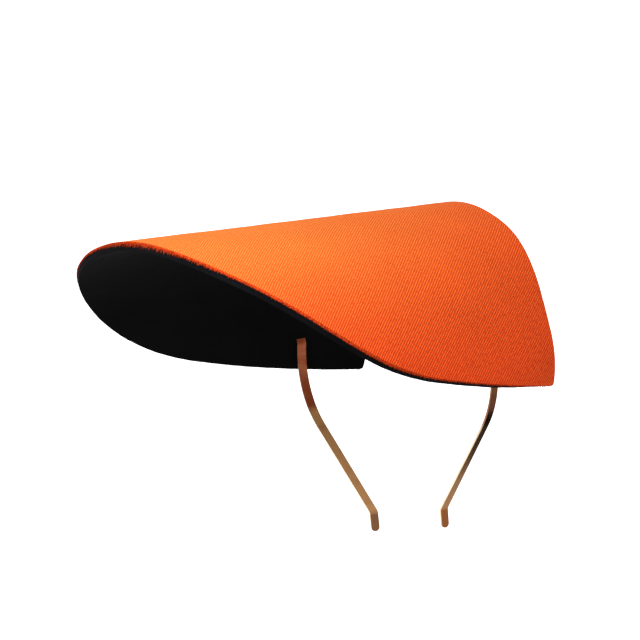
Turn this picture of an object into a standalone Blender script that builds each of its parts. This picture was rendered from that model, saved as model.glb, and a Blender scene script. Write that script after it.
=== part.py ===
"""Crownless visor cap: a bent two-layer sheet on a flat metal head band.

Metres, +Z up. The front points along -Y and the wearer's left is +X. The origin is where the top
of the head meets the inner face of the sheet, in the plane of the head band.
"""

import math

import bmesh
import bpy
import numpy as np
from mathutils import Matrix, Vector

# Sheet: cut flat, then bent into a cone of straight lines that run from its rear to its front edge
REAR_WIDTH = 0.144  # across the outer face of the bent sheet, at its rear edge
ARCH_DROP = 0.0731  # from the crest down to the lower corners
FLARE_LENGTH = 0.1447  # the arch doubles its size this far forward of the rear edge
SIDE_LENGTH = 0.0714  # flat sheet, from the rear edge to its widest place
SIDE_SWELL = 0.0063  # flat sheet, how much further out the widest place is than the rear corner
NOSE_LENGTH = 0.0934  # flat sheet, from its widest place to its front
NOSE_FULLNESS = 2.3  # 2 makes the front a half ellipse, more makes it squarer
REAR_HOLLOW = 0.0022  # flat sheet, how far forward of the rear corners the rear edge is at the crest
SHELL_THICKNESS = 0.001
LINING_THICKNESS = 0.0025
LAYER_GAP = 0.0003  # between pieces that touch on the real cap
CORNER_BLUNT = 0.0012  # length of the short edge that ends each lower corner

# Head band: one flat strip
BAND_FROM_REAR = 0.037  # along the crest, rear edge to band
BAND_TURN = math.radians(1.0)  # the band's left side stands this much further forward
BAND_SLIDE = 0.004  # the band sits this much further round to the right
BAND_LEAN = math.radians(1.3)  # and leans this much to the left
STRIP_WIDTH = 0.004
STRIP_THICKNESS = 0.001
STRIP_EDGE = 0.00015  # radius along the strip's edges
SLIT_DROP = 0.0557  # from the crest down to the middle of the slit
SLIT_LENGTH = 0.006  # height over which the strip passes through the lining

# Legs: angles are from straight down, positive towards the middle
LEG_START = math.radians(-12.3)
LEG_BEND_LENGTH = 0.0387
LEG_SLOPE = math.radians(46.0)
LEG_RUN_LENGTH = 0.0525
KNEE_RADIUS = 0.0018
TIP_SLOPE = math.radians(1.9)
TIP_LENGTH = 0.0077
LEG_TWIST = math.radians(20.0)  # front edge turned outwards, where the leg leaves the lining
TIP_TWIST = math.radians(6.0)

# How the sheet's cross-section turns from the crest to a lower corner
SECTION_COLUMNS = ("share_of_half_arc", "degrees_from_level")
SECTION_TABLE = (
    (0.0, 0.0),
    (1 / 6, 14.4),
    (2 / 6, 27.2),
    (3 / 6, 49.3),
    (4 / 6, 64.1),
    (5 / 6, 70.6),
    (1.0, 98.4),
)

SECTION_STEPS = 400
OUTLINE_STEPS = 100
HALF_COLUMNS = 84  # straight lines of the sheet on each side of the crest
COLUMN_CROWDING = 1.5  # 1 spaces them evenly, more crowds them towards the lower corners
BEND_STEPS = 20
KNEE_STEPS = 5
ROUND_STEPS = 5

COLOURS = {
    "shell": ((0.90, 0.13, 0.015, 1.0), 0.9, 0.0),
    "lining": ((0.006, 0.006, 0.007, 1.0), 0.85, 0.0),
    "headband": ((0.42, 0.24, 0.10, 1.0), 0.3, 1.0),
}


def column(table, columns, name):
    return [row[columns.index(name)] for row in table]


def smooth_through(xs, ys):
    """Natural cubic spline through the points."""
    xs, ys = np.asarray(xs, float), np.asarray(ys, float)
    n, h, slope = len(xs), np.diff(xs), np.diff(ys) / np.diff(xs)
    matrix, right = np.eye(n), np.zeros(n)
    for i in range(1, n - 1):
        matrix[i, i - 1 : i + 2] = h[i - 1], 2 * (h[i - 1] + h[i]), h[i]
        right[i] = 6 * (slope[i] - slope[i - 1])
    bend = np.linalg.solve(matrix, right)

    def value(x):
        i = int(np.clip(np.searchsorted(xs, x) - 1, 0, n - 2))
        a, b = xs[i + 1] - x, x - xs[i]
        curved = (bend[i] * a**3 + bend[i + 1] * b**3) / (6 * h[i])
        start, end = (ys[j] / h[i] - bend[j] * h[i] / 6 for j in (i, i + 1))
        return curved + start * a + end * b

    return value


def make_section():
    """Half cross-section at the rear: share of the half arc -> x, drop and tangent angle."""
    turn = smooth_through(
        column(SECTION_TABLE, SECTION_COLUMNS, "share_of_half_arc"),
        column(SECTION_TABLE, SECTION_COLUMNS, "degrees_from_level"),
    )
    shares = np.linspace(0, 1, SECTION_STEPS + 1)
    angles = np.radians([turn(share) for share in shares])
    across = np.concatenate([[0], np.cumsum(np.cos((angles[1:] + angles[:-1]) / 2))])
    down = np.concatenate([[0], np.cumsum(np.sin((angles[1:] + angles[:-1]) / 2))])
    across *= REAR_WIDTH / 2 / across.max()
    down *= ARCH_DROP / down[-1]
    return shares, across, down


SECTION_SHARES, SECTION_ACROSS, SECTION_DOWN = make_section()
SHEET_THICKNESS = SHELL_THICKNESS + LAYER_GAP + LINING_THICKNESS


def unroll():
    """For each share: length of its straight line from the cone's apex to the rear section, and its
    angle from the crest in the flat sheet."""
    lines = np.stack([SECTION_ACROSS, np.full(len(SECTION_SHARES), FLARE_LENGTH), SECTION_DOWN], axis=1)
    lengths = np.linalg.norm(lines, axis=1)
    steps = np.linalg.norm(np.diff(lines / lengths[:, None], axis=0), axis=1)
    return lengths, np.concatenate([[0], np.cumsum(2 * np.arcsin(steps / 2))])


LINE_LENGTHS, LINE_ANGLES = unroll()
REAR_CORNER = (FLARE_LENGTH - REAR_HOLLOW) * math.tan(LINE_ANGLES[-1])


def flat_outline():
    """Half outline of the flat sheet as (across, forward of the rear end of the crest)."""
    widest = REAR_CORNER + SIDE_SWELL
    across = np.linspace(0, REAR_CORNER, OUTLINE_STEPS)
    rear = np.stack([across, -REAR_HOLLOW * (across / REAR_CORNER) ** 2], axis=1)
    forward = np.linspace(-REAR_HOLLOW, SIDE_LENGTH, OUTLINE_STEPS)
    bulge = ((SIDE_LENGTH - forward) / (SIDE_LENGTH + REAR_HOLLOW)) ** 2
    side = np.stack([widest - SIDE_SWELL * bulge, forward], axis=1)
    turn = np.linspace(0, math.pi / 2, 2 * OUTLINE_STEPS)
    power = 2 / NOSE_FULLNESS
    nose_forward = SIDE_LENGTH + NOSE_LENGTH * np.sin(turn) ** power
    nose = np.stack([widest * np.cos(turn) ** power, nose_forward], axis=1)
    return rear, np.concatenate([side, nose[1:]])


def reach_along_lines(outline):
    """Where each straight line of the cone meets an outline, forward of the rear section."""
    from_apex = FLARE_LENGTH + outline[:, 1]
    angles, distances = np.arctan2(outline[:, 0], from_apex), np.hypot(outline[:, 0], from_apex)
    order = np.argsort(angles)
    met = np.interp(LINE_ANGLES, angles[order], distances[order])
    return (met / LINE_LENGTHS - 1) * FLARE_LENGTH


REAR_REACH, FRONT_REACH = (reach_along_lines(outline) for outline in flat_outline())


def section_at(share):
    """Point of the rear cross-section and its slopes, for a share from -1 (right) to 1 (left)."""
    side = -1 if share < 0 else 1
    step = 0.5 / SECTION_STEPS
    low, high = max(abs(share) - step, 0), min(abs(share) + step, 1)
    x, z = (np.interp(abs(share), SECTION_SHARES, values) for values in (SECTION_ACROSS, SECTION_DOWN))
    dx, dz = (
        np.interp(high, SECTION_SHARES, values) - np.interp(low, SECTION_SHARES, values)
        for values in (SECTION_ACROSS, SECTION_DOWN)
    )
    return side * x, z, dx, side * dz


def outward(share):
    """Unit normal of the outer face, the same all along one straight line of the cone."""
    x, z, dx, dz = section_at(share)
    return Vector((dz, (dz * x - dx * z) / FLARE_LENGTH, dx)).normalized()


def on_sheet(share, forward, depth):
    """Point at a depth below the outer face, at a distance forward of the rear end of the crest."""
    x, z, _, _ = section_at(share)
    size = 1 + forward / FLARE_LENGTH
    outer = Vector((size * x, BAND_FROM_REAR - forward, SHEET_THICKNESS - size * z))
    return outer - outward(share) * depth


def edge_reach(share):
    """Rear and front ends of the straight line at a share, forward of the rear end of the crest."""
    rear, front = (np.interp(abs(share), SECTION_SHARES, reach) for reach in (REAR_REACH, FRONT_REACH))
    return rear, max(front, rear + CORNER_BLUNT)


def make_material(name):
    colour, roughness, metallic = COLOURS[name]
    material = bpy.data.materials.new(name)
    material.use_nodes = True
    shader = material.node_tree.nodes["Principled BSDF"]
    shader.inputs["Base Color"].default_value = colour
    shader.inputs["Roughness"].default_value = roughness
    shader.inputs["Metallic"].default_value = metallic
    return material


def object_from_rows(name, rows, collection):
    """Open surface through rows of points, with each row as long as the others."""
    mesh = bmesh.new()
    verts = [[mesh.verts.new(point) for point in row] for row in rows]
    for row, following in zip(verts, verts[1:]):
        for a, b, c, d in zip(row, row[1:], following[1:], following):
            mesh.faces.new((a, b, c, d))
    data = bpy.data.meshes.new(name)
    mesh.to_mesh(data)
    mesh.free()
    obj = bpy.data.objects.new(name, data)
    collection.objects.link(obj)
    return obj


def solidify(obj, thickness, offset):
    modifier = obj.modifiers.new("Thickness", "SOLIDIFY")
    modifier.thickness = thickness
    modifier.offset = offset
    modifier.use_even_offset = True


def finish(obj):
    obj.data.materials.append(make_material(obj.name))
    obj.data.shade_smooth()
    obj.data.set_sharp_from_angle(angle=math.radians(30))


def make_layer(name, depth, thickness, collection):
    """One layer of the sheet, its outer face at a depth below the outer face of the cap. The left half is
    made and mirrored."""
    rows = []
    for i in range(HALF_COLUMNS + 1):
        share = 1 - (1 - i / HALF_COLUMNS) ** COLUMN_CROWDING
        rear, front = edge_reach(share)
        rows.append([on_sheet(share, rear, depth), on_sheet(share, front, depth)])
    layer = object_from_rows(name, rows, collection)
    mirror = layer.modifiers.new("Right half", "MIRROR")
    mirror.merge_threshold = 0.0001
    solidify(layer, thickness, -1)
    return layer


def under_band_plane(share, depth):
    """Point in the band's plane at a depth below the outer face."""
    x, _, _, _ = section_at(share)
    normal, turn = outward(share), math.tan(BAND_TURN)
    reach = BAND_FROM_REAR - depth * normal.y + turn * (x - depth * normal.x)
    return on_sheet(share, reach / (1 - turn * x / FLARE_LENGTH), depth)


def share_at_drop(side, drop, depth):
    """Share where the band's plane is a drop below the crest's outer face, found by halving."""
    low, high = 0.0, 1.0
    for _ in range(40):
        middle = (low + high) / 2
        if SHEET_THICKNESS - under_band_plane(side * middle, depth).z < drop:
            low = middle
        else:
            high = middle
    return low


def hidden_stretch(side):
    """Stations (point, width direction) from the crest to the slit, between the two layers."""
    between = SHELL_THICKNESS + LAYER_GAP + STRIP_THICKNESS / 2
    inside = SHEET_THICKNESS + LAYER_GAP + STRIP_THICKNESS / 2
    drop = SLIT_DROP - side * BAND_SLIDE
    start = share_at_drop(side, drop - SLIT_LENGTH / 2, between)
    end = share_at_drop(side, drop + SLIT_LENGTH / 2, inside)
    shares = list(np.linspace(0, start, 24)) + list(np.linspace(start, end, 9))[1:]
    points = []
    for share in shares:
        through = np.clip((share - start) / (end - start), 0, 1)
        depth = between + (inside - between) * through * through * (3 - 2 * through)
        points.append((under_band_plane(side * share, depth), outward(side * share)))
    stations = []
    for i, (point, normal) in enumerate(points):
        before, after = points[max(i - 1, 0)][0], points[min(i + 1, len(points) - 1)][0]
        across = normal.cross((after - before) * side).normalized()
        stations.append((point, across))
    return stations


def leg_turns(side):
    """Lengths and end angles of the leg's pieces, as (length, end angle, steps)."""
    lean = -side * BAND_LEAN
    knee = KNEE_RADIUS * abs(LEG_SLOPE - TIP_SLOPE)
    return LEG_START + lean, (
        (LEG_BEND_LENGTH, LEG_SLOPE + lean, BEND_STEPS),
        (LEG_RUN_LENGTH, LEG_SLOPE + lean, 3),
        (knee, TIP_SLOPE + lean, KNEE_STEPS),
        (TIP_LENGTH, TIP_SLOPE + lean, 2),
    )


def leg_stretch(side, start):
    """Stations from the slit to the tip, in the band's vertical plane."""
    sideways = Vector((math.cos(BAND_TURN), -math.sin(BAND_TURN), 0)) * side
    angle, pieces = leg_turns(side)
    total = sum(length for length, _, _ in pieces)
    point, travelled, stations = start.copy(), 0.0, []
    for length, end_angle, steps in pieces:
        start_angle = angle
        for i in range(steps):
            angle = start_angle + (end_angle - start_angle) * (i + 0.5) / steps
            point += (Vector((0, 0, -math.cos(angle))) - sideways * math.sin(angle)) * length / steps
            travelled += length / steps
            heading = start_angle + (end_angle - start_angle) * (i + 1) / steps
            run = Vector((0, 0, -math.cos(heading))) - sideways * math.sin(heading)
            twist = LEG_TWIST + (TIP_TWIST - LEG_TWIST) * travelled / total
            back = Vector((math.sin(BAND_TURN), math.cos(BAND_TURN), 0))
            back.rotate(Matrix.Rotation(-twist * side, 3, run))
            stations.append((point.copy(), back))
        angle = end_angle
    return stations


def round_end(stations):
    """Splits the last stretch so that the strip's end can be rounded, with widths for each row."""
    (before, back), (end, _) = stations[-2], stations[-1]
    along, radius = (end - before).normalized(), STRIP_WIDTH / 2
    rows = [(point, direction, radius) for point, direction in stations[:-1]]
    for i in range(ROUND_STEPS + 1):
        turn = math.radians(84) * i / ROUND_STEPS
        rows.append((end - along * radius * (1 - math.sin(turn)), back, radius * math.cos(turn)))
    return rows


def ribbon(name, rows, extra_width, thickness, collection):
    points = []
    for point, across, half_width in rows:
        reach = across * (half_width + extra_width)
        points.append([point - reach, point + reach])
    obj = object_from_rows(name, points, collection)
    solidify(obj, thickness, 0)
    return obj


def make_headband(collection):
    sides = []
    for side in (1, -1):
        hidden = hidden_stretch(side)
        sides.append(round_end(hidden + leg_stretch(side, hidden[-1][0])))
    left, right = sides
    rows = list(reversed(left)) + right[1:]
    band = ribbon("headband", rows, 0.0, STRIP_THICKNESS, collection)
    bevel = band.modifiers.new("Edges", "BEVEL")
    bevel.width = STRIP_EDGE
    bevel.segments = 2
    bevel.limit_method = "ANGLE"
    bevel.angle_limit = math.radians(60)
    return band


def make_channel(collection):
    """Cutter for the room that the strip takes in the lining, out through both slits."""
    sides = []
    for side in (1, -1):
        hidden = hidden_stretch(side)
        past_slit = leg_stretch(side, hidden[-1][0])[:3]
        sides.append([(point, back, STRIP_WIDTH / 2) for point, back in hidden + past_slit])
    left, right = sides
    rows = list(reversed(left)) + right[1:]
    cutter = ribbon("channel_cutter", rows, LAYER_GAP, STRIP_THICKNESS + 2 * LAYER_GAP, collection)
    cutter.hide_render = True
    cutter.display_type = "WIRE"
    return cutter


def main():
    for obj in list(bpy.data.objects):
        bpy.data.objects.remove(obj)
    parts = bpy.data.collections.new("visor_cap")
    cutters = bpy.data.collections.new("cutters")
    for collection in (parts, cutters):
        bpy.context.scene.collection.children.link(collection)

    shell = make_layer("shell", 0.0, SHELL_THICKNESS, parts)
    lining = make_layer("lining", SHELL_THICKNESS + LAYER_GAP, LINING_THICKNESS, parts)
    headband = make_headband(parts)
    channel = lining.modifiers.new("Channel", "BOOLEAN")
    channel.operation = "DIFFERENCE"
    channel.solver = "EXACT"
    channel.object = make_channel(cutters)
    for obj in (shell, lining, headband):
        finish(obj)


main()
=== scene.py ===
# Looks of a crownless visor cap: orange cotton twill on black foam, bent over a flat brass head band
import math

import bmesh
import bpy
import numpy as np
from mathutils import Matrix, Vector


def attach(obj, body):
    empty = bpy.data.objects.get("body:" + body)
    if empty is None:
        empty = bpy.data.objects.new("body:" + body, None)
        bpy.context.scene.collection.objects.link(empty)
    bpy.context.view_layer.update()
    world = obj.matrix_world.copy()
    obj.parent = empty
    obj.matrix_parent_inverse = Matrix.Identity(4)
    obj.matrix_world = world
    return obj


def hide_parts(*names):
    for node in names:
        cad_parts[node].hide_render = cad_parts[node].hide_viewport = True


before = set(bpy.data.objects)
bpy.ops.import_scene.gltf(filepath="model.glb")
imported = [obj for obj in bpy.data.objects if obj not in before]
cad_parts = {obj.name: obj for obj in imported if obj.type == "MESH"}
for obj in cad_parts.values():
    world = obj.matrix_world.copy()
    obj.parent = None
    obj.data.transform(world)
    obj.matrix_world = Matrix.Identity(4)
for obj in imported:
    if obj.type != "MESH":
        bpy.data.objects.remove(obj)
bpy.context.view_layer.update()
print("frame loaded:", sorted(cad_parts))

# The photograph's view of the cap, through a long lens a little above it
viewpoint = {
    "azimuth": 58.0,
    "elevation": 5.417,
    "roll": 4.391,
    "distance": 2.5,
    "aim": (-0.0297, -0.0189, -0.0431),
    "pixelsPerMetre": 2296.14,  # at the aim
    "picturePixels": 640,
    "sensor": 36.0,
    "farClip": 300.0,
}


def placeCamera():
    turn, rise, roll = (math.radians(viewpoint[name]) for name in ("azimuth", "elevation", "roll"))
    back = Vector((math.sin(turn) * math.cos(rise), -math.cos(turn) * math.cos(rise), math.sin(rise)))
    right = Vector((math.cos(turn), math.sin(turn), 0))
    up = back.cross(right)
    data = bpy.data.cameras.new("photoView")
    data.sensor_width = viewpoint["sensor"]
    framed = viewpoint["picturePixels"] / viewpoint["pixelsPerMetre"]
    data.lens = viewpoint["sensor"] * viewpoint["distance"] / framed
    data.clip_end = viewpoint["farClip"]
    camera = bpy.data.objects.new("photoView", data)
    bpy.context.scene.collection.objects.link(camera)
    sideways = right * math.cos(roll) - up * math.sin(roll)
    upwards = right * math.sin(roll) + up * math.cos(roll)
    spot = Vector(viewpoint["aim"]) + back * viewpoint["distance"]
    rows = [(sideways[i], upwards[i], back[i], spot[i]) for i in range(3)]
    camera.matrix_world = Matrix(rows + [(0, 0, 0, 1)])
    bpy.context.scene.camera = camera


placeCamera()
print("camera placed")


def linearColour(code):
    parts = [int(code[i:i + 2], 16) / 255 for i in (1, 3, 5)]
    return [v / 12.92 if v <= 0.04045 else ((v + 0.055) / 1.055) ** 2.4 for v in parts] + [1.0]


# In a Mix node, sockets 6 and 7 are the two colours, and 2 and 3 the two numbers
def addNode(tree, kind, settings=None, links=None):
    node = tree.nodes.new(kind)
    for name, value in (settings or {}).items():
        if isinstance(name, str) and hasattr(node, name):
            setattr(node, name, value)
        else:
            node.inputs[name].default_value = value
    for socket, source in (links or {}).items():
        tree.links.new(source, node.inputs[socket])
    return node


noiseRange = {"From Min": 0.3, "From Max": 0.7}  # where nearly all of a noise's values lie

# The arch is a cone: straight lines run from its rear edge to its front edge and, drawn on, meet in
# a point, which lies in the plane of each of its flat faces. Its layers are drawn flat, as they were
# cut, in metres across and forward of that point, and then bent.
archReading = {
    "edgeAngle": math.radians(30),  # the outer face bends less than this from facet to facet
    "sameVertex": 1e-6,
    "sameTurn": 1e-4,
    "turnStep": 1e-3,
    "outlineSteps": 600,
    "cornerCut": 0.0016,  # along each edge, where a lower corner's rounding starts
    "cornerSteps": 12,
}


# The rim of the shell's outer face, on one side from the rear of the crest to its front, and the point
def outerRim():
    cad = bmesh.new()
    cad.from_mesh(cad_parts["shell"].data)
    bmesh.ops.remove_doubles(cad, verts=cad.verts, dist=archReading["sameVertex"])
    cad.normal_update()
    cad.faces.index_update()
    highest = max(cad.faces, key=lambda face: face.calc_center_median().z)
    outer, waiting = {highest}, [highest]
    while waiting:
        for edge in waiting.pop().edges:
            found = [face for face in edge.link_faces if face not in outer]
            if found and edge.calc_face_angle() < archReading["edgeAngle"]:
                outer.update(found)
                waiting.extend(found)
    flats = sorted(outer, key=lambda face: face.index)
    facing = np.array([np.outer(face.normal, face.normal) * face.calc_area() for face in flats])
    centres = np.array([face.calc_center_median() for face in flats])
    apex = np.linalg.solve(facing.sum(0), (facing @ centres[:, :, None]).sum(0)[:, 0])
    beside = {}
    for edge in cad.edges:
        if len([face for face in edge.link_faces if face in outer]) == 1:
            a, b = edge.verts
            beside.setdefault(a, []).append(b)
            beside.setdefault(b, []).append(a)
    crest = [v for v in beside if abs(v.co.x) < archReading["sameVertex"]]
    start, goal = max(crest, key=lambda v: v.co.y), min(crest, key=lambda v: v.co.y)
    loop = [start, max(beside[start], key=lambda v: v.co.x)]
    while loop[-1] != goal:
        loop.append(next(v for v in beside[loop[-1]] if v != loop[-2]))
    points = np.array([v.co for v in loop], float)
    cad.free()
    return points, apex * (0, 1, 1)


# A smooth curve through given points
def throughPoints(xs, ys, at):
    slopes = np.gradient(ys, xs, axis=0)
    i = np.clip(np.searchsorted(xs, at) - 1, 0, len(xs) - 2)
    width = xs[i + 1] - xs[i]
    t = (at - xs[i]) / width
    if ys.ndim == 2:
        width, t = width[:, None], t[:, None]
    start = ys[i] * (2 * t**3 - 3 * t**2 + 1) + slopes[i] * width * (t**3 - 2 * t**2 + t)
    return start + ys[i + 1] * (3 * t**2 - 2 * t**3) + slopes[i + 1] * width * (t**3 - t**2)


# Half of the flat outline, the rear edge and then the front one, with its lower corner rounded
def roundedHalf(edges):
    sides = []
    for turn, reach in edges:
        at = np.linspace(0, turn[-1], archReading["outlineSteps"])
        smooth = throughPoints(turn, reach, at)
        sides.append(np.stack([smooth * np.sin(at), smooth * np.cos(at)], axis=1))
    corner = sides[0][-1]
    rear, front = (s[np.linalg.norm(s - corner, axis=1) > archReading["cornerCut"]] for s in sides)
    t = np.linspace(0, 1, archReading["cornerSteps"])[1:-1, None]
    bend = rear[-1] * (1 - t) ** 2 + 2 * corner * t * (1 - t) + front[-1] * t**2
    return np.concatenate([rear, bend, front[::-1]]), corner


def readArch():
    loop, apex = outerRim()
    reach = np.linalg.norm(loop - apex, axis=1)
    heading = (loop - apex) / reach[:, None]
    turns = 2 * np.arcsin(np.linalg.norm(np.diff(heading, axis=0), axis=1) / 2)
    travelled = np.concatenate([[0], np.cumsum(turns)])
    end = int(np.argmax(travelled > travelled[-1] / 2 - archReading["sameTurn"]))
    rear = (travelled[:end + 1], reach[:end + 1])
    front = ((travelled[-1] - travelled)[:end:-1], reach[:end:-1])
    half, corner = roundedHalf((rear, front))
    return {
        "apex": apex,
        "crestReach": reach[0],
        "turns": rear[0],
        "headings": heading[:end + 1],
        "half": half,
        "corner": corner,
    }


arch = readArch()


def headingAt(turn):
    heading = throughPoints(arch["turns"], arch["headings"], np.minimum(np.abs(turn), arch["turns"][-1]))
    heading[:, 0] *= np.where(turn < 0, -1, 1)
    return heading / np.linalg.norm(heading, axis=1)[:, None]


# Places on the flat cut, and depths under its outer face, as they lie on the bent arch
def bendOnto(flat, depth):
    turn, reach = np.arctan2(flat[:, 0], flat[:, 1]), np.hypot(flat[:, 0], flat[:, 1])
    heading, step = headingAt(turn), archReading["turnStep"]
    outward = np.cross(heading, headingAt(turn + step) - headingAt(turn - step))
    outward /= np.linalg.norm(outward, axis=1)[:, None]
    return arch["apex"] + heading * reach[:, None] - outward * depth[:, None]


print("arch read: meeting point", arch["apex"].round(4), "outline points", len(arch["half"]))

# How a layer of the sheet is drawn: a grid with four sides, whose front corners sit on the outline
sheetGrid = {
    "across": 168,
    "forward": 112,
    "shoulder": 0.105,  # from the front of the crest round to the grid's front corner
    "rippleHeight": 0.00007,
    "rippleLengths": (0.061, 0.043, 0.029, 0.019),
    "rippleSeed": 5,
    "frontProud": 0.0009,  # half way along its left front edge, the sheet is cut this much too long
    "proudSpread": 0.7,  # less than 1 spreads that towards the crest and the corner
    "proudStart": 3.0,  # more lets it start sooner where the edge turns to the front
}


def alongLine(points, start, end, count):
    travelled = np.concatenate([[0], np.cumsum(np.linalg.norm(np.diff(points, axis=0), axis=1))])
    at = np.linspace(start, end, count)
    return np.stack([np.interp(at, travelled, points[:, k]) for k in (0, 1)], axis=1)


def lineLength(points):
    return np.linalg.norm(np.diff(points, axis=0), axis=1).sum()


def outwardInPlane(loop, closed):
    if closed:
        along = np.roll(loop, -1, axis=0) - np.roll(loop, 1, axis=0)
    else:
        along = np.gradient(loop, axis=0)
    along /= np.linalg.norm(along, axis=1)[:, None]
    return np.stack([along[:, 1], -along[:, 0]], axis=1)


def gridSides(inset):
    half = arch["half"] - outwardInPlane(arch["half"], False) * inset
    half[[0, -1], 0] = 0
    cornerAt = int(np.argmin(np.linalg.norm(half - arch["corner"], axis=1)))
    toCorner, whole = lineLength(half[:cornerAt + 1]), lineLength(half)
    across, forward = sheetGrid["across"] // 2 + 1, sheetGrid["forward"] + 1
    shoulder = whole - sheetGrid["shoulder"]
    rear = alongLine(half, 0, toCorner, across)
    side = alongLine(half, toCorner, shoulder, forward)
    front = alongLine(half, whole, shoulder, across)
    rear, front = (np.concatenate([line[:0:-1] * (-1, 1), line]) for line in (rear, front))
    return rear, front, side * (-1, 1), side


def fillGrid(rear, front, right, left):
    s = np.linspace(0, 1, len(rear))[:, None, None]
    t = np.linspace(0, 1, len(left))[None, :, None]
    lengthways = (1 - t) * rear[:, None] + t * front[:, None]
    sideways = (1 - s) * right[None] + s * left[None]
    corners = (1 - s) * ((1 - t) * rear[0] + t * front[0]) + s * ((1 - t) * rear[-1] + t * front[-1])
    return lengthways + sideways - corners


def ripple(flat):
    rng = np.random.default_rng(sheetGrid["rippleSeed"])
    height = np.zeros(len(flat))
    for length in sheetGrid["rippleLengths"]:
        direction, phase = rng.uniform(0, math.pi), rng.uniform(0, 2 * math.pi)
        along = flat[:, 0] * math.cos(direction) + flat[:, 1] * math.sin(direction)
        height += np.sin(2 * math.pi * along / length + phase)
    return height * sheetGrid["rippleHeight"] / 2


def edgeProud(rim, outwards):
    share = np.clip(np.arctan2(rim[:, 0], rim[:, 1]) / arch["turns"][-1], 0, 1)
    halfWay = np.sin(math.pi * share) ** sheetGrid["proudSpread"]
    return sheetGrid["frontProud"] * halfWay * np.clip(outwards[:, 1] * sheetGrid["proudStart"], 0, 1)


def edgeWander(layer, distance):
    rng = np.random.default_rng(layer["wanderSeed"])
    wander = np.zeros(len(distance))
    for length in layer["wanderLengths"]:
        wander += np.sin(2 * math.pi * distance / length + rng.uniform(0, 2 * math.pi))
    return wander * layer["wander"] / 2


def edgeProfile(layer):
    radius, thick = layer["edgeRound"], layer["thickness"]
    arc = np.linspace(0, math.pi / 2, layer["roundSteps"] + 1)
    upper = [(radius * math.sin(a), radius * (1 - math.cos(a))) for a in arc[1:]]
    lower = [(out, thick - depth) for out, depth in reversed(upper)]
    wall = [
        (radius - layer["edgeHollow"] * math.sin(math.pi * share), radius + (thick - 2 * radius) * share)
        for share in np.linspace(0, 1, layer["wallSteps"] + 2)[1:-1]
    ]
    return upper + wall + lower


def makeLayer(layer):
    grid = fillGrid(*gridSides(layer["edgeRound"]))
    columns, rows = grid.shape[:2]
    number = np.arange(columns * rows).reshape(columns, rows)
    border = np.concatenate([number[:, 0], number[-1, 1:], number[-2::-1, -1], number[0, -2:0:-1]])
    flat = grid.reshape(-1, 2)
    rim = flat[border]
    outwards = outwardInPlane(rim, True)
    steps = np.linalg.norm(np.diff(rim, axis=0, append=rim[:1]), axis=1)
    wander = edgeWander(layer, np.cumsum(steps)) + edgeProud(rim, outwards)
    profile = edgeProfile(layer)
    places = [flat, flat]
    depths = [np.zeros(len(flat)), np.full(len(flat), layer["thickness"])]
    for out, depth in profile:
        places.append(rim + outwards * (out + wander)[:, None])
        depths.append(np.full(len(rim), depth))
    flat, depth = np.concatenate(places), np.concatenate(depths)
    verts = bendOnto(flat, depth + layer["depth"] + ripple(flat))

    inner = number + number.size
    around = 2 * number.size + np.arange(len(rim))
    loops = [border] + [around + len(rim) * k for k in range(len(profile))] + [border + number.size]
    faces = []
    for sheet, turned in ((number, False), (inner, True)):
        quads = np.stack([sheet[:-1, :-1], sheet[1:, :-1], sheet[1:, 1:], sheet[:-1, 1:]], axis=-1)
        quads = quads.reshape(-1, 4)
        faces.append(quads[:, ::-1] if turned else quads)
    onFace = sum(len(quads) for quads in faces)
    for upper, lower in zip(loops, loops[1:]):
        faces.append(np.stack([upper, lower, np.roll(lower, -1), np.roll(upper, -1)], axis=-1))
    faces = np.concatenate(faces)

    mesh = bpy.data.meshes.new(layer["name"])
    mesh.from_pydata(verts.tolist(), [], faces.tolist())
    place = mesh.attributes.new("cutPlace", "FLOAT_VECTOR", "POINT")
    forward = flat[:, 1] - arch["crestReach"]
    place.data.foreach_set("vector", np.stack([flat[:, 0], forward, depth], axis=1).ravel())
    mesh.polygons.foreach_set("material_index", (np.arange(len(faces)) >= onFace).astype(int))
    tidy = bmesh.new()
    tidy.from_mesh(mesh)
    bmesh.ops.recalc_face_normals(tidy, faces=tidy.faces)
    tidy.to_mesh(mesh)
    tidy.free()
    mesh.shade_smooth()
    piece = bpy.data.objects.new(layer["name"], mesh)
    bpy.context.scene.collection.objects.link(piece)
    return piece, rim + outwards * (layer["edgeRound"] + wander)[:, None]


def plainMaterial(name, settings):
    material = bpy.data.materials.new(name)
    material.use_nodes = True
    shader = material.node_tree.nodes["Principled BSDF"]
    for socket, value in settings.items():
        shader.inputs[socket].default_value = value
    return material, material.node_tree, shader


# Cotton twill, piece-dyed orange: matt, faintly furry, with steep diagonal wales of warp floats
twillFinish = {
    "walesAcross": 0.63,  # cycles for each millimetre across and forward: wales 1.05 mm apart
    "walesForward": -0.71,
    "walesWander": 0.35,  # cycles
    "wanderSize": 0.05,  # noise cycles for each millimetre
    "floatLength": 0.55,  # noise cycles for each 1.05 mm along a wale
    "floatSpread": (0.30, 1.50),
    "beadLength": 1.5,  # each float is about 1.6 mm long
    "beadStagger": 0.38,  # shares of a float from one wale to the next
    "beadSpread": (0.72, 1.20),
    "dyeSize": 0.03,  # noise cycles for each millimetre
    "dyeSpread": (0.95, 1.05),
    "ridge": ("#FF5621", "#FF8639"),  # as dyed, and paler as painted light where the lamp falls
    # the grooves' darker colour is painted shade between the ridges
    "shadedGroove": ("#BE280C", "#C24A16"),
    "paintedLightAcross": (0.150, 0.020),  # metres from the crest line, where the painted light starts and is full
    "paintedLightForward": (0.0, 0.11, 0.35),  # metres from the rear, where it starts and is full; least share
    "roughness": 0.95,
    "specular": 0.05,
    "relief": 0.00022,
    "sheen": 0.3,
    "sheenRoughness": 0.4,
    "sheenTint": "#FFB45A",
}


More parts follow.
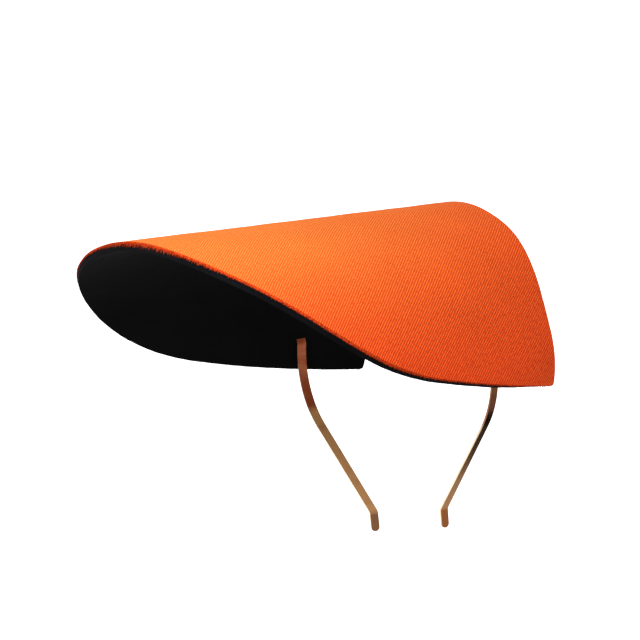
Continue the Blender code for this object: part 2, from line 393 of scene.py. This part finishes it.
def twillCloth():
    finish = twillFinish
    material, tree, shader = plainMaterial("cottonTwill", {
        "Roughness": finish["roughness"],
        "Specular IOR Level": finish["specular"],
        "Sheen Weight": finish["sheen"],
        "Sheen Roughness": finish["sheenRoughness"],
        "Sheen Tint": linearColour(finish["sheenTint"]),
    })
    place = addNode(tree, "ShaderNodeAttribute", {"attribute_name": "cutPlace"}).outputs["Vector"]
    cloth = addNode(
        tree, "ShaderNodeVectorMath", {"operation": "SCALE", "Scale": 1000.0}, {0: place},
    ).outputs[0]

    # Wales: ridges that wander a little off their straight diagonals
    across, forward = finish["walesAcross"], finish["walesForward"]
    bend = addNode(
        tree, "ShaderNodeTexNoise", {"Scale": finish["wanderSize"], "Detail": 2.0}, {"Vector": cloth},
    )
    wales = addNode(
        tree, "ShaderNodeVectorMath", {"operation": "DOT_PRODUCT", 1: (across, forward, 0)}, {0: cloth},
    )
    phase = addNode(
        tree, "ShaderNodeMath", {"operation": "MULTIPLY_ADD", 1: finish["walesWander"]},
        {0: bend.outputs["Fac"], 2: wales.outputs["Value"]},
    ).outputs[0]
    wave = addNode(tree, "ShaderNodeMath", {"operation": "PINGPONG", 1: 0.5}, {0: phase})
    ridge = addNode(
        tree, "ShaderNodeMapRange", {"interpolation_type": "SMOOTHSTEP", "From Max": 0.5},
        {"Value": wave.outputs[0]},
    )

    # Floats: each wale is a row of beads, thicker and thinner by chance
    along = addNode(
        tree, "ShaderNodeVectorMath", {"operation": "DOT_PRODUCT", 1: (-forward, across, 0)}, {0: cloth},
    ).outputs["Value"]
    run = addNode(tree, "ShaderNodeMath", {"operation": "MULTIPLY", 1: finish["floatLength"]}, {0: along})
    grid = addNode(tree, "ShaderNodeCombineXYZ", {}, {"X": phase, "Y": run.outputs[0]})
    floats = addNode(
        tree, "ShaderNodeTexNoise", {"Scale": 1.0, "Detail": 2.0}, {"Vector": grid.outputs[0]},
    ).outputs["Fac"]
    low, high = finish["floatSpread"]
    thickness = addNode(
        tree, "ShaderNodeMapRange", {**noiseRange, "To Min": low, "To Max": high}, {"Value": floats},
    )
    wale = addNode(tree, "ShaderNodeMath", {"operation": "FLOOR"}, {0: phase})
    stepped = addNode(
        tree, "ShaderNodeMath", {"operation": "MULTIPLY_ADD", 1: 1 / finish["beadLength"]},
        {0: along, 2: floats},
    )
    staggered = addNode(
        tree, "ShaderNodeMath", {"operation": "MULTIPLY_ADD", 1: finish["beadStagger"]},
        {0: wale.outputs[0], 2: stepped.outputs[0]},
    )
    dip = addNode(tree, "ShaderNodeMath", {"operation": "PINGPONG", 1: 0.5}, {0: staggered.outputs[0]})
    low, high = finish["beadSpread"]
    bead = addNode(
        tree, "ShaderNodeMapRange",
        {"interpolation_type": "SMOOTHSTEP", "From Max": 0.5, "To Min": low, "To Max": high},
        {"Value": dip.outputs[0]},
    )
    uneven = addNode(
        tree, "ShaderNodeMath", {"operation": "MULTIPLY"}, {0: thickness.outputs[0], 1: bead.outputs[0]},
    )
    height = addNode(
        tree, "ShaderNodeMath", {"operation": "MULTIPLY"}, {0: ridge.outputs[0], 1: uneven.outputs[0]},
    ).outputs[0]

    # Colour: painted shade darkens the grooves against the bright ridges, and painted light makes both
    # paler towards the crest line and the front, where the lamp falls
    sides = addNode(tree, "ShaderNodeSeparateXYZ", {}, {0: place})
    off = addNode(tree, "ShaderNodeMath", {"operation": "ABSOLUTE"}, {0: sides.outputs["X"]})
    # Painted light: the cloth is paler and yellower towards the crest line and the front, where the lamp
    # falls
    start, full = finish["paintedLightAcross"]
    above = addNode(
        tree, "ShaderNodeMapRange",
        {"interpolation_type": "SMOOTHSTEP", "From Min": start, "From Max": full},
        {"Value": off.outputs[0]},
    )
    start, full, least = finish["paintedLightForward"]
    before = addNode(
        tree, "ShaderNodeMapRange", {"From Min": start, "From Max": full, "To Min": least},
        {"Value": sides.outputs["Y"]},
    )
    paintedLight = addNode(
        tree, "ShaderNodeMath", {"operation": "MULTIPLY"}, {0: above.outputs[0], 1: before.outputs[0]},
    )
    shadedGrooves, ridges = (
        addNode(
            tree, "ShaderNodeMix",
            {"data_type": "RGBA", 6: linearColour(dyed), 7: linearColour(paintedLit)},
            {"Factor": paintedLight.outputs[0]},
        )
        for dyed, paintedLit in (finish["shadedGroove"], finish["ridge"])
    )
    # Painted shade: the colour darkens from ridge to groove and where the beads dip
    colour = addNode(
        tree, "ShaderNodeMix", {"data_type": "RGBA"},
        {"Factor": height, 6: shadedGrooves.outputs["Result"], 7: ridges.outputs["Result"]},
    )
    dye = addNode(
        tree, "ShaderNodeTexNoise", {"Scale": finish["dyeSize"], "Detail": 3.0}, {"Vector": cloth},
    )
    low, high = finish["dyeSpread"]
    cloudy = addNode(
        tree, "ShaderNodeMapRange", {**noiseRange, "To Min": low, "To Max": high},
        {"Value": dye.outputs["Fac"]},
    )
    clouded = addNode(
        tree, "ShaderNodeVectorMath", {"operation": "SCALE"},
        {0: colour.outputs["Result"], "Scale": cloudy.outputs[0]},
    )
    bump = addNode(tree, "ShaderNodeBump", {"Distance": finish["relief"]}, {"Height": height})
    tree.links.new(clouded.outputs[0], shader.inputs["Base Color"])
    tree.links.new(bump.outputs[0], shader.inputs["Normal"])
    return material


# The twill's cut edge: cut yarns end on, with painted shade in the gaps between them
cutFinish = {
    "yarn": "#CC4012",
    # painted shade: the colour of the gaps between yarn ends
    "gapShade": "#701A08",
    "yarnsPerMillimetre": 1.6,  # coarser than the real 2.5, or they wouldn't show
    "gapShadeRange": (0.35, 0.62),
    "roughness": 0.95,
    "specular": 0.05,
    "relief": 0.00012,
}


def twillCut():
    finish = cutFinish
    material, tree, shader = plainMaterial(
        "cutTwillYarns", {"Roughness": finish["roughness"], "Specular IOR Level": finish["specular"]},
    )
    place = addNode(tree, "ShaderNodeAttribute", {"attribute_name": "cutPlace"}).outputs["Vector"]
    yarns = addNode(
        tree, "ShaderNodeTexNoise", {"Scale": finish["yarnsPerMillimetre"] * 1000, "Detail": 1.0},
        {"Vector": place},
    )
    low, high = finish["gapShadeRange"]
    lit = addNode(
        tree, "ShaderNodeMapRange", {"From Min": low, "From Max": high}, {"Value": yarns.outputs["Fac"]},
    )
    # Painted shade in the gaps between the yarn ends
    colour = addNode(
        tree, "ShaderNodeMix",
        {"data_type": "RGBA", 6: linearColour(finish["gapShade"]), 7: linearColour(finish["yarn"])},
        {"Factor": lit.outputs[0]},
    )
    bump = addNode(tree, "ShaderNodeBump", {"Distance": finish["relief"]}, {"Height": lit.outputs[0]})
    tree.links.new(colour.outputs["Result"], shader.inputs["Base Color"])
    tree.links.new(bump.outputs[0], shader.inputs["Normal"])
    return material


# Black closed-cell foam: its moulded skin has a fine matt grain, and its cut edge shows the open cells
foamFinish = {
    "skin": {
        "name": "mouldedFoamSkin",
        "colours": ("#040404", "#0C0C0C"),
        "grain": 0.45,  # millimetres
        "relief": 0.00005,
        "specular": 0.05,
    },
    "cut": {
        "name": "cutFoamCells",
        "colours": ("#040405", "#111115"),
        "grain": 0.40,
        "relief": 0.00010,
        "specular": 0.03,
    },
    "cellRange": (0.1, 0.6),
    "cloudSize": 28.0,  # millimetres
    "cloudRange": (0.35, 0.65),
    "roughness": 0.9,
}


def closedCellFoam(face):
    finish = foamFinish
    material, tree, shader = plainMaterial(
        face["name"], {"Roughness": finish["roughness"], "Specular IOR Level": face["specular"]},
    )
    place = addNode(tree, "ShaderNodeAttribute", {"attribute_name": "cutPlace"}).outputs["Vector"]
    cells = addNode(
        tree, "ShaderNodeTexVoronoi", {"Scale": 1000 / face["grain"], "Randomness": 1.0},
        {"Vector": place},
    )
    clouds = addNode(
        tree, "ShaderNodeTexNoise", {"Scale": 1000 / finish["cloudSize"], "Detail": 4.0},
        {"Vector": place},
    )
    low, high = finish["cellRange"]
    walls = addNode(
        tree, "ShaderNodeMapRange", {"From Min": low, "From Max": high},
        {"Value": cells.outputs["Distance"]},
    )
    low, high = finish["cloudRange"]
    worn = addNode(
        tree, "ShaderNodeMapRange", {"From Min": low, "From Max": high}, {"Value": clouds.outputs["Fac"]},
    )
    blend = addNode(
        tree, "ShaderNodeMix", {"data_type": "FLOAT", "Factor": 0.5},
        {2: walls.outputs[0], 3: worn.outputs[0]},
    )
    dark, pale = (linearColour(code) for code in face["colours"])
    colour = addNode(
        tree, "ShaderNodeMix", {"data_type": "RGBA", 6: dark, 7: pale},
        {"Factor": blend.outputs["Result"]},
    )
    bump = addNode(
        tree, "ShaderNodeBump", {"Distance": face["relief"]}, {"Height": cells.outputs["Distance"]},
    )
    tree.links.new(colour.outputs["Result"], shader.inputs["Base Color"])
    tree.links.new(bump.outputs[0], shader.inputs["Normal"])
    return material


# The cloth face: one piece of twill, cut by hand, so its edge wanders a little
twillLayer = {
    "name": "twillFace",
    "depth": 0.0,
    "thickness": 0.0009,
    "edgeRound": 0.00025,
    "roundSteps": 3,
    "wallSteps": 1,
    "edgeHollow": 0.0,
    "wander": 0.00004,
    "wanderLengths": (0.031, 0.013, 0.0071, 0.0043),
    "wanderSeed": 11,
}

twillFace, twillEdge = makeLayer(twillLayer)
twillFace.data.materials.append(twillCloth())
twillFace.data.materials.append(twillCut())
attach(twillFace, "root")
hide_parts("shell")
print("twill face made:", len(twillFace.data.polygons), "faces")

# Short ends of yarn that stand out of the twill's cut edge, uneven and a little bent
yarnEnds = {
    "spacing": 0.00042,
    "radius": 0.00013,
    "rooted": 0.0004,
    "reach": (0.00002, 0.00045),
    "reachCrowding": 2,  # 1 spreads the lengths evenly, more makes most of them short
    "lean": 0.7,
    "depth": (0.0002, 0.0008),
    "droop": 0.5,
    "path": (  # shares of the reach, the lean and the droop, and of the radius
        (0, 0, 0, 1),
        (0.5, 0.3, 0.2, 1),
        (1, 1, 1, 0.6),
    ),
    "frayTurn": 0.32,  # share of each side, from the front of the crest, where the edge is frayed
    "frayEase": 0.5,  # less than 1 keeps the fray full for longer
    "frayReach": 1.5,
    "frayUneven": (0.8, 1.0),
    "frayDroop": 1.5,
    "sides": 5,
    "seed": 37,
}


def makeYarnEnds(edge):
    rng = np.random.default_rng(yarnEnds["seed"])
    edge = np.concatenate([edge, edge[:1]])
    count = int(lineLength(edge) / yarnEnds["spacing"])
    roots = alongLine(edge, 0, lineLength(edge), count + 1)[:-1]
    outwards = outwardInPlane(roots, True)
    along = np.stack([outwards[:, 1], -outwards[:, 0]], axis=1)
    low, high = yarnEnds["reach"]
    reach = low + (high - low) * rng.random(count) ** yarnEnds["reachCrowding"]
    turn = np.abs(np.arctan2(roots[:, 0], roots[:, 1])) / arch["turns"][-1]
    fray = np.clip(1 - turn / yarnEnds["frayTurn"], 0, 1) ** yarnEnds["frayEase"] * (outwards[:, 1] > 0)
    reach += fray * high * yarnEnds["frayReach"] * rng.uniform(*yarnEnds["frayUneven"], count)
    droop = yarnEnds["droop"] + fray * yarnEnds["frayDroop"]
    lean = rng.uniform(-1, 1, count) * yarnEnds["lean"] * reach
    depth = rng.uniform(*yarnEnds["depth"], count)
    around = np.linspace(0, 2 * math.pi, yarnEnds["sides"], endpoint=False)
    flat, depths = [], []
    for out, side, sink, size in yarnEnds["path"]:
        stretch = out * reach - (yarnEnds["rooted"] if out == 0 else 0)
        middle = roots + outwards * stretch[:, None] + along * (side * lean)[:, None]
        ring = np.cos(around) * yarnEnds["radius"] * size
        flat.append(middle[:, None] + along[:, None] * ring[None, :, None])
        drop = depth + sink * droop * reach
        depths.append(drop[:, None] + np.sin(around) * yarnEnds["radius"] * size)
    flat, depths = np.stack(flat, axis=1).reshape(-1, 2), np.stack(depths, axis=1).ravel()
    verts = bendOnto(flat, depths + twillLayer["depth"] + ripple(flat))
    sides = yarnEnds["sides"]
    number = np.arange(len(verts)).reshape(count, len(yarnEnds["path"]), sides)
    following = np.roll(number, -1, axis=2)
    tube = np.stack([number[:, :-1], following[:, :-1], following[:, 1:], number[:, 1:]], axis=-1)
    caps = np.concatenate([number[:, 0, ::-1], number[:, -1]])
    mesh = bpy.data.meshes.new("cutYarnEnds")
    mesh.from_pydata(verts.tolist(), [], tube.reshape(-1, 4).tolist() + caps.tolist())
    place = mesh.attributes.new("cutPlace", "FLOAT_VECTOR", "POINT")
    forward = flat[:, 1] - arch["crestReach"]
    place.data.foreach_set("vector", np.stack([flat[:, 0], forward, depths], axis=1).ravel())
    mesh.shade_smooth()
    piece = bpy.data.objects.new("cutYarnEnds", mesh)
    bpy.context.scene.collection.objects.link(piece)
    return piece


yarnFringe = makeYarnEnds(twillEdge)
yarnFringe.data.materials.append(twillFace.data.materials[1])
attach(yarnFringe, "root")
print("yarn ends made:", len(yarnFringe.data.polygons), "faces")

# The foam lining: thicker, cut with the cloth, with a channel for the strip that leaves by two slits
foamLayer = {
    "name": "foamLining",
    "depth": 0.00095,
    "thickness": 0.00285,
    "edgeRound": 0.0003,
    "roundSteps": 3,
    "wallSteps": 4,
    "edgeHollow": 0.0001,  # the cut wall bows in by this much
    "wander": 0.00005,
    "wanderLengths": (0.037, 0.017, 0.0089, 0.0053),
    "wanderSeed": 23,
    "channelRoom": 0.0002,
}


def weldedCopy(node, name):
    mesh = bmesh.new()
    mesh.from_mesh(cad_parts[node].data)
    bmesh.ops.remove_doubles(mesh, verts=mesh.verts, dist=archReading["sameVertex"])
    bmesh.ops.recalc_face_normals(mesh, faces=mesh.faces)
    data = bpy.data.meshes.new(name)
    mesh.to_mesh(data)
    mesh.free()
    piece = bpy.data.objects.new(name, data)
    bpy.context.scene.collection.objects.link(piece)
    return piece


def cutChannel(lining):
    cutter = weldedCopy("headband", "channelCutter")
    normals = np.zeros(len(cutter.data.vertices) * 3)
    cutter.data.vertex_normals.foreach_get("vector", normals)
    places = np.zeros_like(normals)
    cutter.data.vertices.foreach_get("co", places)
    room = foamLayer["channelRoom"] * math.sqrt(2)  # a corner's move when both its faces move out
    cutter.data.vertices.foreach_set("co", places + normals * room)
    channel = lining.modifiers.new("channel", "BOOLEAN")
    channel.operation = "DIFFERENCE"
    channel.solver = "EXACT"
    channel.object = cutter
    depsgraph = bpy.context.evaluated_depsgraph_get()
    cut = bpy.data.meshes.new_from_object(lining.evaluated_get(depsgraph))
    lining.modifiers.clear()
    lining.data = cut
    bpy.data.objects.remove(cutter)


foamLining, _ = makeLayer(foamLayer)
foamLining.data.materials.append(closedCellFoam(foamFinish["skin"]))
foamLining.data.materials.append(closedCellFoam(foamFinish["cut"]))
cutChannel(foamLining)
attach(foamLining, "root")
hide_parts("lining")
print("foam lining made:", len(foamLining.data.polygons), "faces")


# The head band: one strip of drawn brass, brushed along its length, browner and redder above the bend of
# each leg and darker at the tips. Its outer face is polished and mirrors the room, its inner face is
# left satin under a thin lacquer, and its sheared edges are paler, partly as worn metal and partly as a
# painted highlight.
brassFinish = {
    "redderBand": (-0.090, -0.084, -0.074, -0.066),  # metres up: starts, is full, is full, ends
    "darkTip": (0.0095, 0.0072),  # metres above the end of each leg: starts, is full
    "stainSize": 11.0,  # millimetres
    "stainStrength": 0.25,
    "streaksAcross": 4.0,  # noise cycles for each millimetre
    "streaksAlong": 0.12,
    "relief": 0.00001,
    "innerFacing": 0.5,  # an inner face looks more than this towards the middle of the cap
    "edgeFacing": 0.6,  # and an edge more than this forward or back
    "sharpEdge": 12,  # degrees
    "outer": {
        "name": "polishedBrass",
        "metallic": 1.0,
        "bare": "#AC7846",
        "bandColour": "#623218",
        "shareAboveBand": 1.0,  # the share that is left above the band
        "tip": "#BC7545",
        "roughness": (0.09, 0.20),
    },
    "inner": {
        "name": "satinBrass",
        "metallic": 0.35,  # lacquered, so it shows its own colour more than the room
        "bare": "#E6A86C",
        "bandColour": "#A84C22",
        "shareAboveBand": 0.95,
        "tip": "#8F5E38",
        "roughness": (0.42, 0.56),
    },
    # Edge colours: worn paler metal, made paler still as a painted highlight of the light the front edges
    # catch
    "edge": {
        "name": "wornBrassEdgeWithPaintedHighlight",
        "metallic": 1.0,
        "bare": "#B0A086",
        "bandColour": "#7C5238",
        "shareAboveBand": 0.8,
        "tip": "#A08C70",
        "roughness": (0.24, 0.36),
    },
}


def brushedBrass(face):
    finish = brassFinish
    material, tree, shader = plainMaterial(face["name"], {"Metallic": face["metallic"]})
    place = addNode(tree, "ShaderNodeAttribute", {"attribute_name": "stripPlace"}).outputs["Vector"]
    brushed = addNode(
        tree, "ShaderNodeVectorMath",
        {"operation": "MULTIPLY", 1: (finish["streaksAlong"] * 1000, finish["streaksAcross"] * 1000, 0)},
        {0: place},
    )
    streaks = addNode(
        tree, "ShaderNodeTexNoise", {"Scale": 1.0, "Detail": 3.0}, {"Vector": brushed.outputs[0]},
    ).outputs["Fac"]
    stains = addNode(
        tree, "ShaderNodeTexNoise", {"Scale": 1000 / finish["stainSize"], "Detail": 2.0},
        {"Vector": place},
    )
    height = addNode(tree, "ShaderNodeSeparateXYZ", {}, {0: place})
    # Going up, the legs turn from the bare colour to the band colour, and keep a share of it above the
    # band
    lowest, low, high, highest = finish["redderBand"]
    below, above = (
        addNode(
            tree, "ShaderNodeMapRange",
            {"interpolation_type": "SMOOTHSTEP", "From Min": start, "From Max": full, "To Min": least},
            {"Value": height.outputs["Z"]},
        )
        for start, full, least in ((lowest, low, 0), (highest, high, face["shareAboveBand"]))
    )
    banded = addNode(
        tree, "ShaderNodeMath", {"operation": "MULTIPLY"}, {0: below.outputs[0], 1: above.outputs[0]},
    )
    strength = finish["stainStrength"]
    spread = addNode(
        tree, "ShaderNodeMapRange", {**noiseRange, "To Min": -strength, "To Max": strength},
        {"Value": stains.outputs["Fac"]},
    )
    stained = addNode(
        tree, "ShaderNodeMath", {"operation": "ADD", "use_clamp": True},
        {0: banded.outputs[0], 1: spread.outputs[0]},
    )
    colour = addNode(
        tree, "ShaderNodeMix",
        {"data_type": "RGBA", 6: linearColour(face["bare"]), 7: linearColour(face["bandColour"])},
        {"Factor": stained.outputs[0]},
    )
    aboveTip = addNode(tree, "ShaderNodeAttribute", {"attribute_name": "aboveTip"}).outputs["Fac"]
    start, full = finish["darkTip"]
    tip = addNode(tree, "ShaderNodeMapRange", {"From Min": start, "From Max": full}, {"Value": aboveTip})
    tipped = addNode(
        tree, "ShaderNodeMix", {"data_type": "RGBA", 7: linearColour(face["tip"])},
        {"Factor": tip.outputs[0], 6: colour.outputs["Result"]},
    )
    low, high = face["roughness"]
    rough = addNode(
        tree, "ShaderNodeMapRange", {**noiseRange, "To Min": low, "To Max": high}, {"Value": streaks},
    )
    bump = addNode(tree, "ShaderNodeBump", {"Distance": finish["relief"]}, {"Height": streaks})
    tree.links.new(tipped.outputs["Result"], shader.inputs["Base Color"])
    tree.links.new(rough.outputs[0], shader.inputs["Roughness"])
    tree.links.new(bump.outputs[0], shader.inputs["Normal"])
    return material


def stripPlaces(mesh):
    places = np.zeros(len(mesh.vertices) * 3)
    mesh.vertices.foreach_get("co", places)
    x, y, z = places.reshape(-1, 3).T
    aroundHead = np.hypot(x, z - z.mean()).mean() * np.arctan2(z - z.mean(), x)
    lowest = np.where(x > 0, z[x > 0].min(), z[x < 0].min())
    stripPlace = mesh.attributes.new("stripPlace", "FLOAT_VECTOR", "POINT")
    stripPlace.data.foreach_set("vector", np.stack([aroundHead, y, z], axis=1).ravel())
    aboveTip = mesh.attributes.new("aboveTip", "FLOAT", "POINT")
    aboveTip.data.foreach_set("value", z - lowest)


brassStrip = weldedCopy("headband", "brassStrip")
stripPlaces(brassStrip.data)
stripFaces = ("outer", "inner", "edge")
for stripFace in stripFaces:
    brassStrip.data.materials.append(brushedBrass(brassFinish[stripFace]))
for face in brassStrip.data.polygons:
    if abs(face.normal.y) > brassFinish["edgeFacing"]:
        face.material_index = stripFaces.index("edge")
    elif face.normal.x * math.copysign(1, face.center.x) < -brassFinish["innerFacing"]:
        face.material_index = stripFaces.index("inner")
brassStrip.data.shade_smooth()
brassStrip.data.set_sharp_from_angle(angle=math.radians(brassFinish["sharpEdge"]))
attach(brassStrip, "root")
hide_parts("headband")
print("brass strip made:", len(brassStrip.data.polygons), "faces")

# Studio: a pale room, brighter or darker towards some sides, and one soft lamp close to the front
studio = {
    "floorDrop": 1.6,  # the cap is at head height
    "floorRadius": 90.0,
    "floorSides": 64,
    "floorColour": "#F4F4F4",
    "floorRoughness": 0.8,
    "floorGlow": 0.9,
    "room": 0.86,
    "seenRoom": 1.05,
    "sides": (  # azimuth, elevation, cosines where the change starts and is full, change
        (-58.0, -8.0, 0.866, 0.94, 2.4),
        (-165.0, -32.5, 0.975, 0.983, -0.83),
        (123.0, -6.0, 0.90, 0.97, -0.35),
    ),
    "lampPower": 0.75,
    "lampColour": "#FAFFF8",
    "lampSize": 0.12,
    "lampPlace": (0.142, -0.223, 0.14),
    "lampAim": (0.02, -0.05, -0.02),
}


def directionOf(azimuth, elevation):
    turn, rise = math.radians(azimuth), math.radians(elevation)
    return (math.sin(turn) * math.cos(rise), -math.cos(turn) * math.cos(rise), math.sin(rise))


def makeStudio():
    scene = bpy.context.scene
    scene.view_settings.view_transform = "Standard"
    world = bpy.data.worlds.new("paleRoom")
    scene.world = world
    world.use_nodes = True
    tree = world.node_tree
    white = linearColour("#FFFFFF")
    background = tree.nodes["Background"]
    background.inputs["Color"].default_value = white
    where = addNode(tree, "ShaderNodeTexCoord").outputs["Generated"]
    light = addNode(tree, "ShaderNodeValue").outputs[0]
    light.default_value = studio["room"]
    for azimuth, elevation, start, full, change in studio["sides"]:
        facing = addNode(
            tree, "ShaderNodeVectorMath",
            {"operation": "DOT_PRODUCT", 1: directionOf(azimuth, elevation)}, {0: where},
        )
        lobe = addNode(
            tree, "ShaderNodeMapRange",
            {"interpolation_type": "SMOOTHSTEP", "From Min": start, "From Max": full, "To Max": change},
            {"Value": facing.outputs["Value"]},
        )
        light = addNode(
            tree, "ShaderNodeMath", {"operation": "ADD"}, {0: light, 1: lobe.outputs[0]},
        ).outputs[0]
    path = addNode(tree, "ShaderNodeLightPath")
    seen = addNode(
        tree, "ShaderNodeMix", {"data_type": "FLOAT", 3: studio["seenRoom"]},
        {0: path.outputs["Is Camera Ray"], 2: light},
    )
    tree.links.new(seen.outputs["Result"], background.inputs["Strength"])

    bpy.ops.mesh.primitive_circle_add(
        vertices=studio["floorSides"], radius=studio["floorRadius"], fill_type="NGON",
        location=(0, 0, -studio["floorDrop"]),
    )
    floor = bpy.context.object
    floor.name = "floor"
    floor.visible_diffuse = False
    floor.visible_glossy = False
    paint, _, _ = plainMaterial("floorPaint", {
        "Base Color": linearColour(studio["floorColour"]),
        "Roughness": studio["floorRoughness"],
        "Emission Color": white,
        "Emission Strength": studio["floorGlow"],
    })
    floor.data.materials.append(paint)

    place, aim = Vector(studio["lampPlace"]), Vector(studio["lampAim"])
    data = bpy.data.lights.new("lamp", "AREA")
    data.shape = "SQUARE"
    data.size = studio["lampSize"]
    data.energy = studio["lampPower"]
    data.color = linearColour(studio["lampColour"])[:3]
    lamp = bpy.data.objects.new("lamp", data)
    lamp.location = place
    lamp.rotation_euler = (place - aim).to_track_quat("Z", "Y").to_euler()
    lamp.visible_camera = False
    scene.collection.objects.link(lamp)


makeStudio()
print("studio lit")
